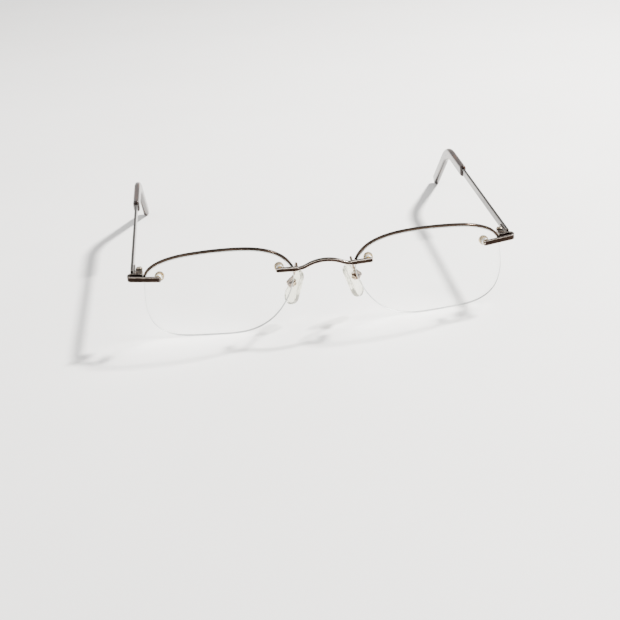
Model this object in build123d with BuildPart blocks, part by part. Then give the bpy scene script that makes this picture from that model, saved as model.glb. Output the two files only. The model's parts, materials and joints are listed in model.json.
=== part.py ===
from build123d import *
import math
import os

# Rimless eyeglasses, standing open on their lens edges and temple tips.
# Millimetres. +X is the wearer's left, the lens fronts face -Y, the temples run to +Y, +Z is up.
# The front is drawn upright, with y = 0 at the lens fronts and z = 0 at the lens bottoms. It is then
# leaned by the pantoscopic tilt and set forward. The origin is on the ground, in the middle.

# Driving dimensions
LENS_WIDTH = 50.4
LENS_DROP = 16.8            # lens middle to its lowest point
NOSE_GAP = 21.0             # between the two lenses
LENS_THICKNESS = 2.0
LENS_BEVEL = 0.2
LENS_RADIUS = 130.0         # front surface, about a four-dioptre base curve
EDGE_STEPS = 48             # points that the lens outline is drawn through
WRAP = 4.0                  # degrees that each lens turns back at the temple side
LEAN = 8.0                  # degrees of pantoscopic tilt
SETTLE = 0.128              # brings the leaned lens bottoms back to the ground

MOUNT_HEIGHT = 23.4         # of the lens studs, above the lens bottoms
NASAL_STUD_X = 14.9
TEMPLE_STUD_X = 55.5
GAP = 0.05                  # between pieces that sit against each other
PIN_FIT = 0.02              # round a pin, in the pieces that hold it
PIN_PLAY = 0.05             # round a pin, in the piece that turns on it
SIDE_PLAY = 0.04            # each side of a knuckle
BLANK_DEPTH = 15.0          # half the depth of the block a curved piece is cut from

BROW_HEIGHT = 0.7
BROW_DEPTH = 1.1
BROW_SETBACK = 0.05         # behind the lens front
BROW_ROUND = 0.2

STRAP_THICKNESS = 0.8
STRAP_HEIGHT = 1.9
STRAP_REACH = 9.1           # stud to the start of the turn
STRAP_TURN = 1.7            # outer radius of the U-turn
STRAP_END = 0.85            # beyond the stud, towards the nose
REAR_LEG = 3.4              # from the turn back inwards, behind the front leg
STRAP_CORNER = 0.3
STRAP_ROUND = 0.15

STUD_RADIUS = 0.7
SLEEVE_RADIUS = 1.1
STUD_SINK = 0.5             # how far a stud is let into the metal that carries it
WASHER_RADIUS = 1.35
WASHER_THICKNESS = 0.3
NUT_RADIUS = 1.6
NUT_HEIGHT = 1.8
NUT_DOME = 1.2              # rounding of the nut's closed end
STUD_TIP = 1.0              # stud inside its nut
STUD_TIP_GAP = 0.1

PIN_RADIUS = 0.45
KNUCKLE_RADIUS = 1.2
HINGE_HEIGHT = 2.8
MIDDLE_KNUCKLE = 1.2
HINGE_BEHIND = 2.7          # hinge axis behind the endpiece
HINGE_FOOT_U = 7.5          # middle of the hinge foot, from the temporal stud
HINGE_FOOT_LENGTH = 3.2
HINGE_FOOT_DEPTH = 0.8
HINGE_INSET = 0.5           # hinge axis inwards of the middle of its foot
HINGE_PLATE_LENGTH = 7.5    # plate along the temple's inner face
HINGE_PLATE = 0.5           # its thickness
HINGE_PLATE_LEAD = 0.8      # plate ahead of the axis
HINGE_WEB = 1.9             # between the middle knuckle and its plate
HINGE_CLEAR = 0.3           # slot for the middle knuckle, longer than the knuckle
SCREW_HEAD_RADIUS = 0.95
SCREW_HEAD_HEIGHT = 0.5
SCREW_SLOT = 0.2            # depth of the driver slots
TEMPLE_OFFSET = 2.0         # hinge axis to the temple's inner face

TEMPLE_THICKNESS = 1.0
TEMPLE_HEIGHT = 2.8
BAR_ROUND = 0.3
SLEEVE_START = 72.0         # hinge axis to the tip sleeve
BEND_START = 93.0           # hinge axis to the ear bend
BEND_RADIUS = 30.0
BEND_ANGLE = 35.0
TIP_THICKNESS = 2.4
TIP_HEIGHT = 4.4
TIP_ROUND = 0.9             # rounding of the free end
TIP_MOUTH_ROUND = 0.7       # rounding of the end that faces the hinge
TIP_SIDE_ROUND = 1.1        # rounding along the tip
CORE_THICKNESS = 0.9
CORE_HEIGHT = 1.6
CORE_ROUND = 0.3
CORE_FIT = 0.1              # round the core wire, inside the tip
CORE_SHORT = 6.0            # core wire ends this far before the tip's end
BAR_LEAD = 1.2              # temple bar ahead of the hinge axis

PAD_CENTRE = (10.9, 7.2, 12.2)
PAD_WIDTH = 6.6
PAD_HEIGHT = 13.0
PAD_TOP_RADIUS = 2.2
PAD_THICKNESS = 2.3
PAD_SPLAY = 28.0            # degrees, wider at the back
PAD_FLARE = 22.0            # degrees, wider at the bottom
BOX_RISE = 2.2              # pad box above the pad's middle
ARM_RADIUS = 0.42

# Lens middle, and the middle of the sphere that its front surface lies on
lens_x = NOSE_GAP / 2 + LENS_WIDTH / 2
wrap = math.radians(WRAP)
sphere = Vector(lens_x - LENS_RADIUS * math.sin(wrap), LENS_RADIUS * math.cos(wrap), LENS_DROP)

# Outline of the left lens seen from the front: outwards and upwards from its middle
LENS_OUTLINE = [
    (25.2, -2.5), (24.8, 3.5), (23.3, 8.4), (18.0, 12.3), (7.4, 14.8), (-5.7, 15.3),
    (-15.6, 13.8), (-22.1, 10.2), (-25.2, 4.6), (-24.0, -2.0), (-20.6, -8.4), (-15.6, -13.4),
    (-8.8, -16.3), (0.0, -16.8), (9.0, -16.7), (18.2, -15.6), (22.7, -12.3), (24.7, -7.6),
]


def stud_plane(x):
    """Plane on the lens front at a stud, with its normal pointing back through the lens."""
    across, rise = x - sphere.X, MOUNT_HEIGHT - sphere.Z
    depth = sphere.Y - math.sqrt(LENS_RADIUS**2 - across**2 - rise**2)
    spot = Vector(x, depth, MOUNT_HEIGHT)
    inward = (sphere - spot).normalized()
    along = inward.cross(Vector(0, 0, 1)).normalized()
    return Plane(origin=spot, x_dir=along, z_dir=inward)


def plan_plane(x):
    """Plane through the same spot whose local y points back, for profiles seen from above."""
    face = stud_plane(x)
    return Plane(origin=face.origin, x_dir=face.x_dir, z_dir=face.x_dir.cross(face.z_dir))


lean = Location((0, 0, -SETTLE), (LEAN, 0, 0))
nasal = stud_plane(NASAL_STUD_X)
temporal = stud_plane(TEMPLE_STUD_X)
right_nasal = Plane(
    origin=(-nasal.origin.X, nasal.origin.Y, nasal.origin.Z),
    z_dir=(-nasal.z_dir.X, nasal.z_dir.Y, nasal.z_dir.Z),
)
strap_plan = plan_plane(TEMPLE_STUD_X)

# Where the hinge stands: behind the middle of the strap's rear leg, in the leaned front
strap_back = 2 * STRAP_TURN - STRAP_THICKNESS - GAP
foot_plan = Plane(lean * strap_plan.location)
foot = foot_plan.from_local_coords(Vector(HINGE_FOOT_U, strap_back, 0))
hinge_x = foot.X - HINGE_INSET
hinge_y = foot.Y + HINGE_BEHIND
hinge_z = foot.Z

# Temple centre line, in the plane x = temple_x
temple_x = hinge_x + TEMPLE_OFFSET + TEMPLE_THICKNESS / 2
bend = math.radians(BEND_ANGLE)
tip_corner = TIP_HEIGHT / 2 * math.cos(bend) - TIP_ROUND * (math.sin(bend) + math.cos(bend) - 1)
tip_drop = hinge_z - tip_corner
tip_run = (tip_drop - BEND_RADIUS * (1 - math.cos(bend))) / math.sin(bend)
temple_end = hinge_y + BEND_START + BEND_RADIUS * math.sin(bend) + tip_run * math.cos(bend)
tip_reach = TIP_HEIGHT / 2 * math.sin(bend) - TIP_ROUND * (math.sin(bend) + math.cos(bend) - 1)
FRONT_REACH = 5.14          # foremost point of the leaned front, ahead of the lens fronts' bottoms
forward = Location((0, -(temple_end + tip_reach - FRONT_REACH) / 2, 0))

os.makedirs("parts", exist_ok=True)


def write(piece, name):
    """Name a finished piece and write it out."""
    piece.part.label = name
    export_step(piece.part, f"parts/{name}.step")


def write_pair(piece, name):
    """Write a piece of the left side, and its mirror image on the right."""
    write(piece, name + "_left")
    with BuildPart() as twin:
        mirror(piece.part, about=Plane.YZ)
    write(twin, name + "_right")


def seat_front(piece):
    """Lean an upright piece of the front, and set it forward."""
    piece.part.move(forward * lean * piece.part.location.inverse())


def lens_edge(grow=0.0):
    """Outline of the left lens, grown all round, drawn in the open line."""
    points = [(lens_x + x, LENS_DROP + z) for x, z in LENS_OUTLINE]
    edge = Spline(points, periodic=True, mode=Mode.PRIVATE)
    grown = []
    for step in range(EDGE_STEPS):
        along = edge % (step / EDGE_STEPS)
        grown.append(edge @ (step / EDGE_STEPS) + Vector(along.Y, -along.X) * grow)
    return Spline(grown, periodic=True)


# Lens: the outline cut from a spherical shell, drilled at both studs
with BuildPart() as lens:
    with BuildSketch(Plane.XZ):
        with BuildLine():
            lens_edge()
        make_face()
    extrude(amount=BLANK_DEPTH, both=True)
    with Locations(sphere):
        Sphere(LENS_RADIUS, mode=Mode.INTERSECT)
        Sphere(LENS_RADIUS - LENS_THICKNESS, mode=Mode.SUBTRACT)
    chamfer(lens.edges().sort_by(SortBy.LENGTH)[-2:], LENS_BEVEL)
    with Locations(nasal, temporal):
        Cylinder(SLEEVE_RADIUS + GAP, 6, mode=Mode.SUBTRACT)
seat_front(lens)
write_pair(lens, "lens")

# Brow wire: a strip along the upper edge, from the endpiece to the bridge clip
with BuildPart() as brow_wire:
    with BuildSketch(Plane.XZ):
        with BuildLine():
            lens_edge(GAP + BROW_HEIGHT)
        make_face()
        with BuildLine():
            lens_edge(GAP)
        make_face(mode=Mode.SUBTRACT)
        with Locations((lens_x, MOUNT_HEIGHT)):
            Rectangle(LENS_WIDTH + 10, 20, align=(Align.CENTER, Align.MIN), mode=Mode.INTERSECT)
    extrude(amount=BLANK_DEPTH, both=True)
    with Locations(sphere):
        Sphere(LENS_RADIUS - BROW_SETBACK, mode=Mode.INTERSECT)
        Sphere(LENS_RADIUS - BROW_SETBACK - BROW_DEPTH, mode=Mode.SUBTRACT)
    fillet(brow_wire.edges().sort_by(SortBy.LENGTH)[-4:], BROW_ROUND)
seat_front(brow_wire)
write_pair(brow_wire, "brow_wire")

# Bridge: an arched bar between two clip bars that lie on the lens fronts
CLIP_HEIGHT = 1.5
ARCH_HEIGHT = 1.1
CLIP_START = 8.6
CLIP_END = NASAL_STUD_X + 1.5
ARCH_RISE = 2.5
BRIDGE_ROUND = 0.2
with BuildPart() as bridge:
    with BuildSketch(Plane.XZ):
        with BuildLine():
            Spline(
                (-CLIP_START - 1, MOUNT_HEIGHT), (-0.52 * CLIP_START, MOUNT_HEIGHT + 0.66 * ARCH_RISE),
                (0, MOUNT_HEIGHT + ARCH_RISE),
                (0.52 * CLIP_START, MOUNT_HEIGHT + 0.66 * ARCH_RISE), (CLIP_START + 1, MOUNT_HEIGHT),
                tangents=((1, 0), (1, 0)),
            )
        trace(line_width=ARCH_HEIGHT)
        for side in (-1, 1):
            with Locations((side * (CLIP_START + CLIP_END) / 2, MOUNT_HEIGHT)):
                SlotOverall(CLIP_END - CLIP_START, CLIP_HEIGHT)
    extrude(amount=BLANK_DEPTH, both=True)
    with BuildSketch(Plane.XY):
        with BuildLine():
            back = Spline((-19, 0.9), (-9, -0.1), (0, -0.4), (9, -0.1), (19, 0.9))
            front = Spline((-19, -0.35), (-9, -1.05), (0, -1.5), (9, -1.05), (19, -0.35))
            Line(back @ 0, front @ 0)
            Line(back @ 1, front @ 1)
        make_face()
    extrude(amount=MOUNT_HEIGHT + 2 * ARCH_RISE, mode=Mode.INTERSECT)
    for side in (-1, 1):
        with Locations((side * sphere.X, sphere.Y, sphere.Z)):
            Sphere(LENS_RADIUS + GAP, mode=Mode.SUBTRACT)
    for spot in (nasal, right_nasal):
        with BuildSketch(spot.offset(-STUD_SINK - GAP)):
            Circle(STUD_RADIUS + GAP / 2)
        extrude(amount=STUD_SINK + 1, mode=Mode.SUBTRACT)
    fillet(bridge.edges().group_by(Axis.Y)[0], BRIDGE_ROUND)
seat_front(bridge)
write(bridge, "bridge")

# Endpiece: a flat strap on the lens front that turns back on itself outside the lens
with BuildPart() as endpiece:
    with BuildSketch(strap_plan):
        with BuildLine():
            start = (-STRAP_END, -GAP - STRAP_THICKNESS / 2)
            front_leg = Line(start, (STRAP_REACH, start[1]))
            turn_radius = STRAP_TURN - STRAP_THICKNESS / 2
            turn = JernArc(front_leg @ 1, front_leg % 1, turn_radius, 180)
            Line(turn @ 1, (STRAP_REACH - REAR_LEG, (turn @ 1).Y))
        trace(line_width=STRAP_THICKNESS)
    extrude(amount=STRAP_HEIGHT / 2, both=True)
    fillet(endpiece.edges().filter_by(Axis(strap_plan.origin, strap_plan.z_dir)), STRAP_CORNER)
    rims = endpiece.edges().group_by(Axis(strap_plan.origin, strap_plan.z_dir))
    fillet(rims[0] + rims[-1], STRAP_ROUND)
    with BuildSketch(temporal.offset(-STUD_SINK - GAP)):
        Circle(STUD_RADIUS + GAP / 2)
    extrude(amount=STUD_SINK + 1, mode=Mode.SUBTRACT)
seat_front(endpiece)
write_pair(endpiece, "endpiece")

# What holds each lens at a stud: stud, sleeve, washer and domed cap nut
NUT_START = LENS_THICKNESS + 2 * GAP + WASHER_THICKNESS
for spot, place in ((nasal, "bridge"), (temporal, "endpiece")):
    with BuildPart() as stud:
        with BuildSketch(spot.offset(-STUD_SINK)):
            Circle(STUD_RADIUS)
        extrude(amount=STUD_SINK + NUT_START + STUD_TIP)
        chamfer(stud.edges().sort_by(Axis(spot.origin, spot.z_dir))[-1], 0.15)
    with BuildPart() as sleeve:
        with BuildSketch(spot.offset(GAP)):
            Circle(SLEEVE_RADIUS)
            Circle(STUD_RADIUS + GAP, mode=Mode.SUBTRACT)
        extrude(amount=LENS_THICKNESS - GAP)
    with BuildPart() as washer:
        with BuildSketch(spot.offset(LENS_THICKNESS + GAP)):
            Circle(WASHER_RADIUS)
            Circle(STUD_RADIUS + GAP, mode=Mode.SUBTRACT)
        extrude(amount=WASHER_THICKNESS)
    with BuildPart() as cap_nut:
        with BuildSketch(spot.offset(NUT_START + GAP)):
            Circle(NUT_RADIUS)
        extrude(amount=NUT_HEIGHT)
        fillet(cap_nut.edges().sort_by(Axis(spot.origin, spot.z_dir))[-1], NUT_DOME)
        with BuildSketch(spot.offset(NUT_START + GAP)):
            Circle(STUD_RADIUS + GAP / 2)
        extrude(amount=STUD_TIP - GAP + STUD_TIP_GAP, mode=Mode.SUBTRACT)
    for piece, name in ((stud, "stud"), (sleeve, "sleeve"), (washer, "washer"), (cap_nut, "cap_nut")):
        seat_front(piece)
        write_pair(piece, f"{place}_{name}")

# Nose pad and what holds it. In the pad's own plane x is across the pad, y up it, z towards the nose
splay, flare = math.radians(PAD_SPLAY), math.radians(PAD_FLARE)
to_nose = Vector(-math.cos(flare) * math.cos(splay), math.sin(splay), -math.sin(flare) * math.cos(splay))
up_pad = Vector(-math.sin(flare), 0, math.cos(flare))
pad_plane = Plane(origin=PAD_CENTRE, x_dir=up_pad.cross(to_nose), z_dir=to_nose)
box_plane = pad_plane.shift_origin(pad_plane.from_local_coords(Vector(0, BOX_RISE, 0)))

TAB_WIDTH = 1.3
TAB_HEIGHT = 2.2
TAB_DEPTH = 1.5
SCREW_BACK = 0.85           # pad screw behind the pad's back face
BOX_WALL = 0.4
BOX_SIDE_PLAY = 0.08        # each side of the pad's tab
BOX_END_PLAY = 0.25         # above, below and behind the tab
BOX_START = 0.4             # box rim behind the pad
PAD_EDGE = 1.2
PAD_BACK_EDGE = 0.4
PAD_SCREW_HEAD = 0.75       # radius
PAD_SCREW_HEAD_HEIGHT = 0.4
screw_plane = Plane(
    origin=box_plane.from_local_coords(Vector(0, 0, -SCREW_BACK)),
    x_dir=box_plane.y_dir, z_dir=box_plane.x_dir,
)

with BuildPart() as nose_pad:
    with BuildSketch(pad_plane):
        with Locations((0, (PAD_WIDTH - PAD_HEIGHT) / 2)):
            Circle(PAD_WIDTH / 2)
        with Locations((0, PAD_HEIGHT / 2 - PAD_TOP_RADIUS)):
            Circle(PAD_TOP_RADIUS)
        make_hull()
    extrude(amount=PAD_THICKNESS)
    fillet(nose_pad.edges().group_by(Axis(pad_plane.origin, pad_plane.z_dir))[-1], PAD_EDGE)
    fillet(nose_pad.edges().group_by(Axis(pad_plane.origin, pad_plane.z_dir))[0], PAD_BACK_EDGE)
    with BuildSketch(box_plane):
        Rectangle(TAB_WIDTH, TAB_HEIGHT)
    extrude(amount=-TAB_DEPTH)
    with Locations(screw_plane):
        Cylinder(PIN_RADIUS + PIN_PLAY, 2 * PAD_WIDTH, mode=Mode.SUBTRACT)
seat_front(nose_pad)
write_pair(nose_pad, "nose_pad")

BOX_BACK = TAB_DEPTH + BOX_END_PLAY
box_half = TAB_WIDTH / 2 + BOX_SIDE_PLAY + BOX_WALL
with BuildPart() as pad_box:
    with BuildSketch(box_plane.offset(-BOX_START)):
        Rectangle(2 * box_half, TAB_HEIGHT + 2 * BOX_END_PLAY)
    extrude(amount=-(BOX_BACK + BOX_WALL - BOX_START))
    with BuildSketch(box_plane):
        Rectangle(TAB_WIDTH + 2 * BOX_SIDE_PLAY, TAB_HEIGHT + 4 * BOX_END_PLAY)
    extrude(amount=-BOX_BACK, mode=Mode.SUBTRACT)
    with Locations(screw_plane):
        Cylinder(PIN_RADIUS + PIN_FIT, 4 * box_half, mode=Mode.SUBTRACT)
seat_front(pad_box)
write_pair(pad_box, "pad_box")

with BuildPart() as pad_screw:
    with BuildSketch(screw_plane.offset(-box_half)):
        Circle(PIN_RADIUS)
    extrude(amount=2 * box_half)
    with BuildSketch(screw_plane.offset(box_half + PIN_FIT)):
        Circle(PAD_SCREW_HEAD)
    extrude(amount=PAD_SCREW_HEAD_HEIGHT)
    with BuildSketch(screw_plane.offset(box_half)):
        Circle(PIN_RADIUS)
    extrude(amount=PAD_SCREW_HEAD_HEIGHT / 2)
    with BuildSketch(screw_plane.offset(box_half + PIN_FIT + PAD_SCREW_HEAD_HEIGHT)):
        Rectangle(4 * PAD_SCREW_HEAD, SCREW_SLOT)
    extrude(amount=-SCREW_SLOT, mode=Mode.SUBTRACT)
seat_front(pad_screw)
write_pair(pad_screw, "pad_screw")

# Pad arm: a wire from behind the bridge clip, straight back, then down to the pad box
arm_end = box_plane.from_local_coords(Vector(0, 0, -BOX_BACK - BOX_WALL - GAP))
arm_turn = box_plane.from_local_coords(Vector(0, 0, -BOX_BACK - BOX_WALL - 1.5))
with BuildPart() as pad_arm:
    with BuildLine():
        wire = FilletPolyline(
            (9.2, 0.3, MOUNT_HEIGHT), (9.2, 3.2, MOUNT_HEIGHT + 0.3), (10.2, 4.6, 18.6),
            arm_turn, arm_end, radius=0.8,
        )
    with BuildSketch(Plane(origin=wire @ 0, z_dir=wire % 0)):
        Circle(ARM_RADIUS)
    sweep(path=wire)
seat_front(pad_arm)
write_pair(pad_arm, "pad_arm")

# Hinge leaf on the endpiece: a foot on the leaned strap, and two knuckles on an upright axis
with BuildPart() as hinge_leaf:
    with BuildSketch(foot_plan.offset(-STRAP_HEIGHT / 2)):
        with Locations((HINGE_FOOT_U, strap_back + GAP)):
            Rectangle(HINGE_FOOT_LENGTH, HINGE_FOOT_DEPTH, align=(Align.CENTER, Align.MIN))
    extrude(amount=STRAP_HEIGHT)
    with BuildSketch(Plane.XY.offset(hinge_z - HINGE_HEIGHT / 2)):
        with Locations((hinge_x, hinge_y)):
            Circle(KNUCKLE_RADIUS)
            neck = HINGE_BEHIND - HINGE_FOOT_DEPTH / 2
            Rectangle(2 * KNUCKLE_RADIUS, neck, align=(Align.CENTER, Align.MAX))
    extrude(amount=HINGE_HEIGHT)
    with BuildSketch(Plane.XY.offset(hinge_z - MIDDLE_KNUCKLE / 2 - SIDE_PLAY)):
        with Locations((hinge_x, hinge_y)):
            Rectangle(3 * KNUCKLE_RADIUS, 2 * KNUCKLE_RADIUS + HINGE_CLEAR)
    extrude(amount=MIDDLE_KNUCKLE + 2 * SIDE_PLAY, mode=Mode.SUBTRACT)
    with Locations((hinge_x, hinge_y, hinge_z)):
        Cylinder(PIN_RADIUS + PIN_FIT, 2 * HINGE_HEIGHT, mode=Mode.SUBTRACT)
hinge_leaf.part.move(forward)
write_pair(hinge_leaf, "hinge_leaf")

with BuildPart() as hinge_screw:
    with BuildSketch(Plane.XY.offset(hinge_z - HINGE_HEIGHT / 2)):
        with Locations((hinge_x, hinge_y)):
            Circle(PIN_RADIUS)
    extrude(amount=HINGE_HEIGHT + SCREW_HEAD_HEIGHT / 2)
    with BuildSketch(Plane.XY.offset(hinge_z + HINGE_HEIGHT / 2 + PIN_FIT)):
        with Locations((hinge_x, hinge_y)):
            Circle(SCREW_HEAD_RADIUS)
    extrude(amount=SCREW_HEAD_HEIGHT)
    fillet(hinge_screw.edges().sort_by(Axis.Z)[-1], 0.15)
    with BuildSketch(Plane.XY.offset(hinge_z + HINGE_HEIGHT / 2 + PIN_FIT + SCREW_HEAD_HEIGHT)):
        with Locations((hinge_x, hinge_y)):
            Rectangle(SCREW_SLOT, 4 * SCREW_HEAD_RADIUS)
    extrude(amount=-SCREW_SLOT, mode=Mode.SUBTRACT)
hinge_screw.part.move(forward)
write_pair(hinge_screw, "hinge_screw")

# Hinge leaf on the temple: the middle knuckle and a plate along the temple's inner face
with BuildPart() as temple_leaf:
    with BuildSketch(Plane.XY.offset(hinge_z - MIDDLE_KNUCKLE / 2)):
        with Locations((hinge_x, hinge_y)):
            Circle(KNUCKLE_RADIUS)
        with Locations((hinge_x, hinge_y - HINGE_PLATE_LEAD)):
            Rectangle(TEMPLE_OFFSET - GAP, HINGE_WEB, align=(Align.MIN, Align.MIN))
        with Locations((hinge_x + TEMPLE_OFFSET - GAP, hinge_y - HINGE_PLATE_LEAD)):
            Rectangle(HINGE_PLATE, HINGE_PLATE_LENGTH, align=(Align.MAX, Align.MIN))
    extrude(amount=MIDDLE_KNUCKLE)
    with Locations((hinge_x, hinge_y, hinge_z)):
        Cylinder(PIN_RADIUS + PIN_PLAY, 2 * HINGE_HEIGHT, mode=Mode.SUBTRACT)
temple_leaf.part.move(forward)
write_pair(temple_leaf, "temple_leaf")

# Temple: a flat bar, thinned to a core wire inside the tip
bar_start = hinge_y - BAR_LEAD
sleeve_start = hinge_y + SLEEVE_START
bend_start = hinge_y + BEND_START


def ear_path(start, short=0.0):
    """Centre line from start, straight back, round the ear bend and down to the tip."""
    with BuildLine(Plane.YZ.offset(temple_x)) as path:
        run = Line((start, hinge_z), (bend_start, hinge_z))
        arc = JernArc(run @ 1, run % 1, BEND_RADIUS, -BEND_ANGLE)
        PolarLine(arc @ 1, tip_run - short, direction=arc % 1)
    return path.line


with BuildPart() as temple:
    with BuildSketch(Plane.XZ.offset(-bar_start)):
        with Locations((temple_x, hinge_z)):
            RectangleRounded(TEMPLE_THICKNESS, TEMPLE_HEIGHT, BAR_ROUND)
    extrude(amount=-(sleeve_start - GAP - bar_start))
    with BuildSketch(Plane.XZ.offset(-(sleeve_start - GAP))):
        with Locations((temple_x, hinge_z)):
            RectangleRounded(CORE_THICKNESS, CORE_HEIGHT, CORE_ROUND)
    sweep(path=ear_path(sleeve_start - GAP, short=CORE_SHORT))
temple.part.move(forward)
write_pair(temple, "temple")

with BuildPart() as temple_tip:
    with BuildSketch(Plane.XZ.offset(-sleeve_start)):
        with Locations((temple_x, hinge_z)):
            RectangleRounded(TIP_THICKNESS, TIP_HEIGHT, TIP_SIDE_ROUND)
    sweep(path=ear_path(sleeve_start))
    fillet(temple_tip.faces().sort_by(Axis.Y)[-1].edges(), TIP_ROUND)
    fillet(temple_tip.faces().sort_by(Axis.Y)[0].edges(), TIP_MOUTH_ROUND)
    with BuildSketch(Plane.XZ.offset(-sleeve_start)):
        with Locations((temple_x, hinge_z)):
            RectangleRounded(CORE_THICKNESS, CORE_HEIGHT, CORE_ROUND)
        offset(amount=CORE_FIT)
    sweep(path=ear_path(sleeve_start, short=CORE_SHORT - CORE_FIT), mode=Mode.SUBTRACT)
temple_tip.part.move(forward)
write_pair(temple_tip, "temple_tip")

pad_pivot = Plane(forward * lean * screw_plane.location)
print("left hinge axis through", (hinge_x, hinge_y + forward.position.Y, hinge_z))
print("left pad pivot through", pad_pivot.origin, "along", pad_pivot.z_dir)
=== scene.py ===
import json
import math

import bpy
from mathutils import Matrix, Vector


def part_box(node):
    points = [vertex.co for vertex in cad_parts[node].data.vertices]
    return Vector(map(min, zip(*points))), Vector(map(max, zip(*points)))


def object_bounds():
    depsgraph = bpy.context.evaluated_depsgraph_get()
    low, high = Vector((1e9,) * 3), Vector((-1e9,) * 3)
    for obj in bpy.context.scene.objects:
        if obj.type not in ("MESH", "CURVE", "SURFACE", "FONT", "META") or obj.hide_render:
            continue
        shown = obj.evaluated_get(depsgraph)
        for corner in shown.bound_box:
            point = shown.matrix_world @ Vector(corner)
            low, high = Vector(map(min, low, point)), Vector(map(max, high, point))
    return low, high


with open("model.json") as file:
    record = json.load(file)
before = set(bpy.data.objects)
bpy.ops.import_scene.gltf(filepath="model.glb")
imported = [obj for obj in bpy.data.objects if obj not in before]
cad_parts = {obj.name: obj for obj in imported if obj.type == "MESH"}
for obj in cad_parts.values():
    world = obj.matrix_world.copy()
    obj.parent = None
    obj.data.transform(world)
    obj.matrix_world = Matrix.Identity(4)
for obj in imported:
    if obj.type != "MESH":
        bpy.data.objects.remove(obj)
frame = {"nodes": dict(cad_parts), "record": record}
cad_low, cad_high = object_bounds()
lens_low, lens_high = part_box("lens_left")
front_y = lens_low.y
MM = 0.001

# Middle of the sphere that the left lens's front lies on
LENS_RADIUS = 130 * MM
LENS_MIDDLE_X = 26.6 * MM
LENS_MIDDLE_Z = (lens_low.z + lens_high.z) / 2 + 18.5 * MM

# Cosines between a surface's own normal and the one it is compared with
EDGE_COSINE, FACE_COSINE = 0.93, 0.995
RIM_COSINE, LENS_COSINE = 0.75, 0.93

# Where the lamps stand and what the camera looks at, in metres; angles in degrees
KEY_PLACE = (0.55, 0.22, 0.70)
FILL_PLACE = (-0.8, -0.7, 0.9)
SKY_STRENGTH = 1.0
AIM_OFFSET = Vector((-5.99, 2.97, -9.65)) * MM
CAMERA_AZIMUTH = -3.8
CAMERA_ELEVATION = 23.0
CAMERA_ROLL = 5.04
CAMERA_DISTANCE = 0.45
CAMERA_LENS = 76.9
SENSOR_WIDTH = 36


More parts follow.
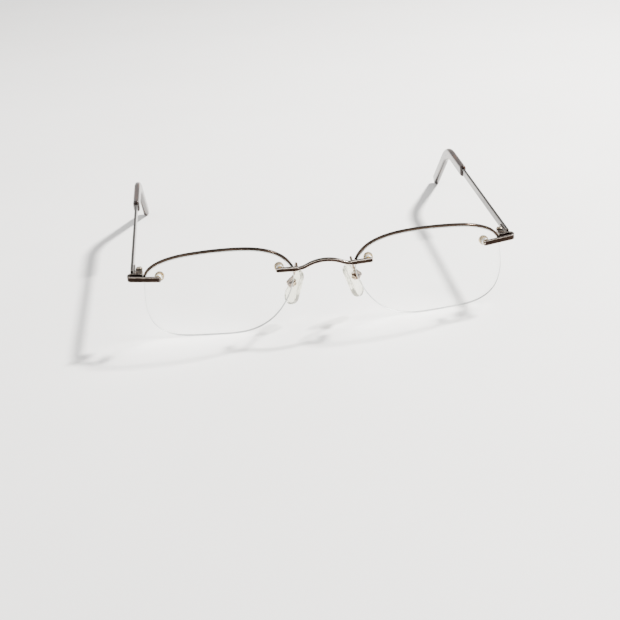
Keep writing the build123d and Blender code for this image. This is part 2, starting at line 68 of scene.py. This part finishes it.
# ---------------------------------------------------------------- node helpers
class Tree:
    """A material's node tree, with short calls for the nodes used here."""

    def __init__(self, name):
        self.material = bpy.data.materials.new(name)
        self.material.use_nodes = True
        self.nodes = self.material.node_tree.nodes
        self.links = self.material.node_tree.links
        self.shader = self.nodes["Principled BSDF"]
        self.output = self.nodes["Material Output"]
        self.place = self.nodes.new("ShaderNodeTexCoord").outputs["Object"]
        self.normal = self.nodes.new("ShaderNodeNewGeometry").outputs["Normal"]

    def link(self, source, target):
        self.links.new(source, target)

    def set(self, **values):
        """Sets the shader's own sockets; a double underscore stands for a space."""
        for name, value in values.items():
            self.shader.inputs[name.replace("__", " ")].default_value = value

    def stretched(self, scale):
        node = self.nodes.new("ShaderNodeMapping")
        node.inputs["Scale"].default_value = scale
        self.link(self.place, node.inputs["Vector"])
        return node.outputs["Vector"]

    def noise(self, scale, detail=3.0, roughness=0.55, where=None, distortion=0.0):
        node = self.nodes.new("ShaderNodeTexNoise")
        node.inputs["Scale"].default_value = scale
        node.inputs["Detail"].default_value = detail
        node.inputs["Roughness"].default_value = roughness
        node.inputs["Distortion"].default_value = distortion
        self.link(where or self.place, node.inputs["Vector"])
        return node.outputs["Fac"]

    def remap(self, value, low, high, start=0.3, end=0.7):
        node = self.nodes.new("ShaderNodeMapRange")
        node.inputs["From Min"].default_value = start
        node.inputs["From Max"].default_value = end
        node.inputs["To Min"].default_value = low
        node.inputs["To Max"].default_value = high
        self.link(value, node.inputs["Value"])
        return node.outputs["Result"]

    def blend(self, value, *stops):
        """Colour ramp: stops are (position, colour)."""
        ramp = self.nodes.new("ShaderNodeValToRGB")
        elements = ramp.color_ramp.elements
        while len(elements) < len(stops):
            elements.new(0.5)
        for element, (position, colour) in zip(elements, stops):
            element.position = position
            element.color = (*colour, 1)
        self.link(value, ramp.inputs["Fac"])
        return ramp.outputs["Color"]

    def calculate(self, kind, operation, *operands):
        """A Math or Vector Math node; each operand is a socket or a constant."""
        node = self.nodes.new(kind)
        node.operation = operation
        for socket, value in zip(node.inputs, operands):
            if isinstance(value, bpy.types.NodeSocket):
                self.link(value, socket)
            else:
                socket.default_value = value
        return node.outputs

    def math(self, operation, *operands):
        return self.calculate("ShaderNodeMath", operation, *operands)["Value"]

    def vector(self, operation, *operands):
        return self.calculate("ShaderNodeVectorMath", operation, *operands)["Vector"]

    def dot(self, first, second):
        return self.calculate("ShaderNodeVectorMath", "DOT_PRODUCT", first, second)["Value"]

    def mixed(self, share, first, second):
        """Colour between two colour sockets."""
        node = self.nodes.new("ShaderNodeMix")
        node.data_type = "RGBA"
        self.link(share, node.inputs["Factor"])
        self.link(first, node.inputs[6])
        self.link(second, node.inputs[7])
        return node.outputs[2]

    def edges(self, radius):
        """1 on edges that are sharper than the radius, 0 on the faces between them."""
        node = self.nodes.new("ShaderNodeBevel")
        node.samples = 6
        node.inputs["Radius"].default_value = radius
        return self.remap(self.dot(node.outputs["Normal"], self.normal), 1, 0, EDGE_COSINE, FACE_COSINE)

    def bump(self, height, depth, strength=1.0):
        node = self.nodes.new("ShaderNodeBump")
        node.inputs["Strength"].default_value = strength
        node.inputs["Distance"].default_value = depth
        self.link(height, node.inputs["Height"])
        self.link(node.outputs["Normal"], self.shader.inputs["Normal"])

    def let_light_through(self, share):
        """Rays from lamps pass the surface, as they do through a clear piece."""
        clear = self.nodes.new("ShaderNodeBsdfTransparent")
        clear.inputs["Color"].default_value = (share, share, share, 1)
        path = self.nodes.new("ShaderNodeLightPath")
        mix = self.nodes.new("ShaderNodeMixShader")
        self.link(path.outputs["Is Shadow Ray"], mix.inputs["Fac"])
        self.link(self.shader.outputs["BSDF"], mix.inputs[1])
        self.link(clear.outputs["BSDF"], mix.inputs[2])
        self.link(mix.outputs["Shader"], self.output.inputs["Surface"])


# ---------------------------------------------------------------- materials
def lens_material(side):
    """Clear lens with a few smears; its rim is frosted and coloured dark grey as painted shade. Side is 1
    on the left, -1 on the right.
    """
    t = Tree("clear_lens_left" if side > 0 else "clear_lens_right")
    t.set(IOR=1.5, Transmission__Weight=1.0)
    middle = Vector((side * LENS_MIDDLE_X, front_y + LENS_RADIUS, LENS_MIDDLE_Z))
    outward = t.vector("NORMALIZE", t.vector("SUBTRACT", t.place, middle))
    facing = t.math("ABSOLUTE", t.dot(outward, t.normal))
    rim = t.remap(facing, 1, 0, RIM_COSINE, LENS_COSINE)
    smears = t.noise(90, detail=4, where=t.stretched((1, 1, 0.4)), distortion=0.6)
    frost = t.noise(1800, detail=3)
    roughness = t.math("ADD", t.remap(smears, 0.0, 0.035, 0.42, 0.8),
                       t.math("MULTIPLY", rim, t.remap(frost, 0.30, 0.42)))
    t.link(roughness, t.shader.inputs["Roughness"])
    clear = t.blend(smears, (0.2, (0.99, 0.995, 0.99)), (0.8, (0.97, 0.98, 0.975)))
    # Painted shade: the frosted rim is coloured dark grey.
    rim_painted_shade = t.blend(frost, (0.3, (0.10, 0.11, 0.105)), (0.7, (0.22, 0.24, 0.23)))
    t.link(t.mixed(rim, clear, rim_painted_shade), t.shader.inputs["Base Color"])
    t.let_light_through(0.90)
    return t.material


def clear_plastic_material():
    """Milky cream nylon of the sleeves and washers."""
    t = Tree("clear_plastic")
    t.set(IOR=1.40, Transmission__Weight=0.4)
    cloud = t.noise(900, detail=2)
    t.link(t.remap(cloud, 0.04, 0.12), t.shader.inputs["Roughness"])
    t.link(t.blend(cloud, (0.3, (0.50, 0.37, 0.16)), (0.7, (0.80, 0.66, 0.38))),
           t.shader.inputs["Base Color"])
    t.bump(cloud, 0.02 * MM)
    t.let_light_through(0.7)
    return t.material


def pad_material():
    """Soft translucent plastic of the nose pads."""
    t = Tree("pad_plastic")
    t.set(IOR=1.46, Transmission__Weight=0.94, Subsurface__Weight=0.05, Subsurface__Scale=0.002)
    t.shader.inputs["Subsurface Radius"].default_value = (1.0, 0.8, 0.6)
    cloud = t.noise(260, detail=3)
    grain = t.noise(3500, detail=2)
    t.link(t.remap(cloud, 0.03, 0.10), t.shader.inputs["Roughness"])
    t.link(t.blend(cloud, (0.3, (0.84, 0.83, 0.69)), (0.7, (0.94, 0.93, 0.83))),
           t.shader.inputs["Base Color"])
    t.bump(grain, 0.01 * MM)
    t.let_light_through(0.75)
    return t.material


def metal_material(name, dark, light, edge_highlight, rough=(0.10, 0.24), edge=0.16 * MM):
    """Polished plated metal: a slow drift of colour, fine polishing marks, and a painted highlight on
    sharp edges.
    """
    t = Tree(name)
    t.set(Metallic=1.0)
    drift = t.noise(160, detail=3)
    marks = t.noise(1400, detail=4, roughness=0.7)
    face = t.blend(drift, (0.32, dark), (0.68, light))
    # Painted highlight: the pale colour is laid on sharp edges, broken up by the polishing marks.
    pale = t.blend(marks, (0.25, tuple(0.82 * part for part in edge_highlight)), (0.6, edge_highlight))
    share = t.math("MULTIPLY", t.edges(edge), t.remap(marks, 0.75, 1.0))
    t.link(t.mixed(share, face, pale), t.shader.inputs["Base Color"])
    t.link(t.remap(marks, *rough), t.shader.inputs["Roughness"])
    t.bump(marks, 0.004 * MM)
    return t.material


def tip_material():
    """Dark brown acetate with amber streaks that run along the tip."""
    t = Tree("tip_plastic")
    t.set(IOR=1.42, Coat__Weight=0.12, Coat__Roughness=0.08)
    streaks = t.noise(1.0, detail=4, where=t.stretched((420, 70, 260)), distortion=0.8)
    marks = t.noise(2200, detail=3)
    t.link(t.blend(streaks, (0.32, (0.006, 0.003, 0.002)), (0.52, (0.016, 0.006, 0.003)),
                   (0.74, (0.070, 0.024, 0.007))), t.shader.inputs["Base Color"])
    t.link(t.remap(marks, 0.14, 0.28), t.shader.inputs["Roughness"])
    t.bump(marks, 0.006 * MM)
    return t.material


def floor_material():
    """Pale warm grey table top."""
    t = Tree("floor")
    mottle = t.noise(9, detail=5)
    grain = t.noise(900, detail=3)
    t.link(t.blend(mottle, (0.3, (0.855, 0.845, 0.825)), (0.7, (0.895, 0.885, 0.868))),
           t.shader.inputs["Base Color"])
    t.link(t.remap(grain, 0.48, 0.62), t.shader.inputs["Roughness"])
    t.bump(grain, 0.02 * MM)
    return t.material


# Each set is face colours, dark then light, then a painted edge highlight. The near-black faces of the
# frame and brow wire are painted reflection of dark surroundings.
FRAME_PAINTED_REFLECTION = ((0.008, 0.005, 0.004), (0.022, 0.014, 0.010), (1.0, 0.88, 0.78))
WIRE_METAL = ((0.016, 0.011, 0.008), (0.048, 0.031, 0.022), (0.70, 0.58, 0.50))
ARM_METAL = ((0.10, 0.07, 0.05), (0.26, 0.19, 0.14), (0.95, 0.84, 0.70))
PALE_GOLD = ((0.24, 0.15, 0.05), (0.46, 0.33, 0.13), (1.0, 0.88, 0.58))
SCREW_METAL = ((0.20, 0.15, 0.10), (0.42, 0.34, 0.25), (0.96, 0.86, 0.70))

MATERIALS = {
    "lens_left": lens_material(1),
    "lens_right": lens_material(-1),
    "pad_arm": metal_material("arm_metal", *ARM_METAL),
    "clear_plastic": clear_plastic_material(),
    "pad_plastic": pad_material(),
    "tip_plastic": tip_material(),
    "gold_fittings": metal_material("gold_fittings", *PALE_GOLD, edge=0.08 * MM),
    "screw_steel": metal_material("screw_steel", *SCREW_METAL, rough=(0.16, 0.32)),
    "frame_metal": metal_material("frame_metal", *FRAME_PAINTED_REFLECTION, edge=0.36 * MM),
    "brow_wire": metal_material("wire_metal", *WIRE_METAL, edge=0.14 * MM),
}


def material_key(part):
    """Some pieces have a material of their own, by side or on both sides; the rest go by their slot."""
    name, kind = part["node"], part["node"].rsplit("_", 1)[0].replace("pad_box", "pad_arm")
    return next(key for key in (name, kind, part["material_slot"]) if key in MATERIALS)


for part in frame["record"]["subparts"]:
    node = frame["nodes"][part["node"]]
    node.data.materials.clear()
    node.data.materials.append(MATERIALS[material_key(part)])


# ---------------------------------------------------------------- floor, light and camera
def floor():
    """A pale table top under the glasses."""
    bpy.ops.mesh.primitive_plane_add(size=4, location=(0, 0, cad_low.z))
    plane = bpy.context.object
    plane.name = "floor"
    plane.data.materials.append(floor_material())


def soft_light(name, position, target, size, power, colour):
    lamp = bpy.data.lights.new(name, "AREA")
    lamp.shape = "DISK"
    lamp.size = size
    lamp.energy = power
    lamp.color = colour
    light = bpy.data.objects.new(name, lamp)
    light.location = position
    light.rotation_mode = "QUATERNION"
    light.rotation_quaternion = (Vector(target) - Vector(position)).to_track_quat("-Z", "Y")
    bpy.context.collection.objects.link(light)


def lights(target):
    """A soft key from the upper right, a wide fill from the left, and a pale sky."""
    soft_light("key", KEY_PLACE, target, 0.10, 38.0, (1.0, 0.98, 0.95))
    soft_light("fill", FILL_PLACE, target, 1.2, 7.0, (0.97, 0.98, 1.0))
    world = bpy.data.worlds.new("sky")
    world.use_nodes = True
    world.node_tree.nodes["Background"].inputs["Color"].default_value = (0.90, 0.90, 0.90, 1)
    world.node_tree.nodes["Background"].inputs["Strength"].default_value = SKY_STRENGTH
    bpy.context.scene.world = world


def camera(target, azimuth, elevation, roll, distance, lens):
    """Looks at target from that side; a positive roll lifts the picture's right side."""
    data = bpy.data.cameras.new("camera")
    data.lens = lens
    data.sensor_width = SENSOR_WIDTH
    data.clip_start = 0.01
    eye = bpy.data.objects.new("camera", data)
    side, rise = math.radians(azimuth), math.radians(elevation)
    back = Vector((math.sin(side) * math.cos(rise), -math.cos(side) * math.cos(rise), math.sin(rise)))
    tilt = Matrix.Rotation(math.radians(-roll), 3, "Z").to_quaternion()
    eye.rotation_mode = "QUATERNION"
    eye.rotation_quaternion = (-back).to_track_quat("-Z", "Y") @ tilt
    eye.location = target + back * distance
    bpy.context.collection.objects.link(eye)
    bpy.context.scene.camera = eye


floor()
front_middle = Vector((0, front_y, (lens_low.z + lens_high.z) / 2))
lights(front_middle)
aim = front_middle + AIM_OFFSET
camera(aim, CAMERA_AZIMUTH, CAMERA_ELEVATION, CAMERA_ROLL, CAMERA_DISTANCE, CAMERA_LENS)
